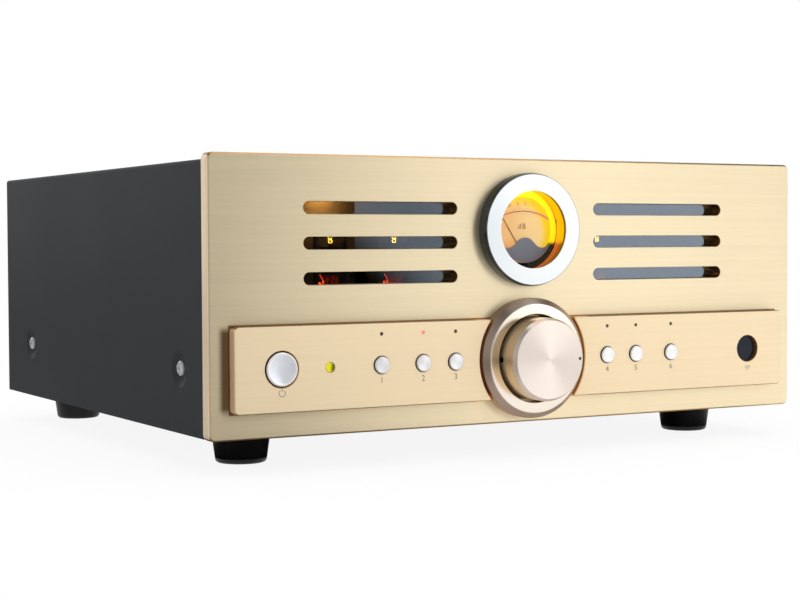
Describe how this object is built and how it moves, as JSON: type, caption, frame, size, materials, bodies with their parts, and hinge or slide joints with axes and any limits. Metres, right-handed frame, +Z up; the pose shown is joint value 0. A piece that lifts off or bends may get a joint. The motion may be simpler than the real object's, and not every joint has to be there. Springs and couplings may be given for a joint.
{
  "type": "integrated amplifier",
  "caption": "Table-top tube amplifier: thick metal faceplate, folded cover, round level meter, large volume knob on a raised control strip, push buttons and rear sockets.",
  "frame": {"origin": "on the floor under the middle of the bounding box", "axes": "+X to the right seen from the front, +Y from the faceplate to the rear panel, +Z up"},
  "size_m": [0.43, 0.4366, 0.184],
  "materials": {
    "gold_faceplate": "brushed and anodised in pale gold",
    "gold_strip": "brushed and anodised in pale gold",
    "steel_screws": "zinc plated",
    "ring_aluminium": "turned, satin",
    "knob_aluminium": "turned face with fine circular lines",
    "black_screw": "blackened",
    "shaft_steel": "ground",
    "pinion_brass": "machined",
    "control_case": "die cast",
    "motor_case": "plated",
    "bezel_aluminium": "polished",
    "meter_glass": "clear",
    "amber_can": "see-through amber",
    "dial_paper": "printed and lit from behind",
    "apron_grey": "satin grey",
    "needle_black": "matt black",
    "movement_case": "dark",
    "lamp_amber": "lit",
    "tinted_pane": "tinted",
    "button_aluminium": "turned and dished",
    "black_plastic": "moulded",
    "light_green": "lit",
    "light_red": "one of them lit",
    "circuit_board": "solder mask",
    "dark_lens": "dark, lets infra-red through",
    "tray_steel": "zinc plated sheet",
    "rear_steel": "fine textured paint",
    "cover_steel": "fine textured charcoal paint",
    "case_screw_steel": "nickel plated",
    "foot_plastic": "moulded",
    "transformer_wrap": "ring core of iron and copper wrapped in yellow film",
    "clamp_steel": "zinc plated",
    "ceramic": "glazed",
    "tube_glass": "clear",
    "electrode_grey": "carbon grey",
    "can_sleeve": "shrunk sleeve with a bare aluminium top",
    "sink_aluminium": "black anodised",
    "gold_plate": "gold plated",
    "cap_red": "moulded",
    "cap_black": "moulded",
    "socket_steel": "nickel plated shell"
  },
  "bodies": {
    "case": {"front_panel": "gold_faceplate", "control_strip_left": "gold_strip", "control_strip_right": "gold_strip", "panel_screws": "steel_screws", "knob_ring": "ring_aluminium", "volume_pot": "control_case", "volume_motor": "motor_case", "meter_bezel": "bezel_aluminium", "meter_glass": "meter_glass", "meter_housing": "amber_can", "meter_dial": "dial_paper", "meter_mask": "apron_grey", "meter_movement": "movement_case", "meter_lamp": "lamp_amber", "slot_windows": "tinted_pane", "power_switch": "black_plastic", "power_led": "light_green", "source_switches": "black_plastic", "source_leds": "light_red", "front_board": "circuit_board", "remote_lens": "dark_lens", "chassis_base": "tray_steel", "rear_panel": "rear_steel", "top_cover": "cover_steel", "case_screws": "case_screw_steel", "foot_front_left": "foot_plastic", "foot_front_right": "foot_plastic", "foot_rear_left": "foot_plastic", "foot_rear_right": "foot_plastic", "power_transformer": "transformer_wrap", "transformer_plate": "clamp_steel", "tube_board": "circuit_board", "tube_sockets": "ceramic", "tube_envelopes": "tube_glass", "tube_electrodes": "electrode_grey", "amplifier_board": "circuit_board", "filter_capacitors": "can_sleeve", "heatsinks": "sink_aluminium", "speaker_posts": "gold_plate", "rca_jacks": "gold_plate", "iec_inlet": "black_plastic", "usb_socket": "socket_steel"},
    "volume": {"volume_knob": "knob_aluminium", "knob_set_screw": "black_screw", "volume_shaft": "shaft_steel"},
    "pinion": {"motor_pinion": "pinion_brass"},
    "needle": {"meter_needle": "needle_black"},
    "power": {"power_button": "button_aluminium"},
    "fuse": {"fuse_drawer": "black_plastic"},
    "source_1": {"source_button_1": "button_aluminium"},
    "source_2": {"source_button_2": "button_aluminium"},
    "source_3": {"source_button_3": "button_aluminium"},
    "source_4": {"source_button_4": "button_aluminium"},
    "source_5": {"source_button_5": "button_aluminium"},
    "source_6": {"source_button_6": "button_aluminium"},
    "cap_1": {"post_cap_1": "cap_red"},
    "cap_2": {"post_cap_2": "cap_black"},
    "cap_3": {"post_cap_3": "cap_red"},
    "cap_4": {"post_cap_4": "cap_black"}
  },
  "joints": [
    {"name": "volume_turn", "type": "hinge", "parent": "case", "child": "volume", "pos_m": [0, -0.19265, 0.0602], "axis": [0, 1, 0], "range_deg": [-240, 60]},
    {"name": "motor_turn", "type": "hinge", "parent": "case", "child": "pinion", "pos_m": [0, -0.15665, 0.0782], "axis": [0, 1, 0], "range_deg": [-120, 480]},
    {"name": "needle_swing", "type": "hinge", "parent": "case", "child": "needle", "pos_m": [0, -0.18925, 0.12295], "axis": [0, 1, 0], "range_deg": [0, 68], "stiffness_Nm_per_rad": 0.00003, "springref_deg": -17.19},
    {"name": "power_press", "type": "slide", "parent": "case", "child": "power", "axis": [0, 1, 0], "range_m": [0, 0.001], "stiffness_N_per_m": 900, "springref_m": -0.0008},
    {"name": "source_press_1", "type": "slide", "parent": "case", "child": "source_1", "axis": [0, 1, 0], "range_m": [0, 0.0008], "stiffness_N_per_m": 900, "springref_m": -0.0006},
    {"name": "source_press_2", "type": "slide", "parent": "case", "child": "source_2", "axis": [0, 1, 0], "range_m": [0, 0.0008], "stiffness_N_per_m": 900, "springref_m": -0.0006},
    {"name": "source_press_3", "type": "slide", "parent": "case", "child": "source_3", "axis": [0, 1, 0], "range_m": [0, 0.0008], "stiffness_N_per_m": 900, "springref_m": -0.0006},
    {"name": "source_press_4", "type": "slide", "parent": "case", "child": "source_4", "axis": [0, 1, 0], "range_m": [0, 0.0008], "stiffness_N_per_m": 900, "springref_m": -0.0006},
    {"name": "source_press_5", "type": "slide", "parent": "case", "child": "source_5", "axis": [0, 1, 0], "range_m": [0, 0.0008], "stiffness_N_per_m": 900, "springref_m": -0.0006},
    {"name": "source_press_6", "type": "slide", "parent": "case", "child": "source_6", "axis": [0, 1, 0], "range_m": [0, 0.0008], "stiffness_N_per_m": 900, "springref_m": -0.0006},
    {"name": "cap_turn_1", "type": "hinge", "parent": "case", "child": "cap_1", "pos_m": [-0.132, 0.20835, 0.092], "axis": [0, 1, 0], "range_deg": [0, 1440]},
    {"name": "cap_turn_2", "type": "hinge", "parent": "case", "child": "cap_2", "pos_m": [-0.113, 0.20835, 0.092], "axis": [0, 1, 0], "range_deg": [0, 1440]},
    {"name": "cap_turn_3", "type": "hinge", "parent": "case", "child": "cap_3", "pos_m": [-0.078, 0.20835, 0.092], "axis": [0, 1, 0], "range_deg": [0, 1440]},
    {"name": "cap_turn_4", "type": "hinge", "parent": "case", "child": "cap_4", "pos_m": [-0.059, 0.20835, 0.092], "axis": [0, 1, 0], "range_deg": [0, 1440]},
    {"name": "fuse_slide", "type": "slide", "parent": "case", "child": "fuse", "axis": [0, 1, 0], "range_m": [0, 0.018]}
  ],
  "couplings": [
    {"joint": "motor_turn", "follows": "volume_turn", "ratio": -2}
  ]
}
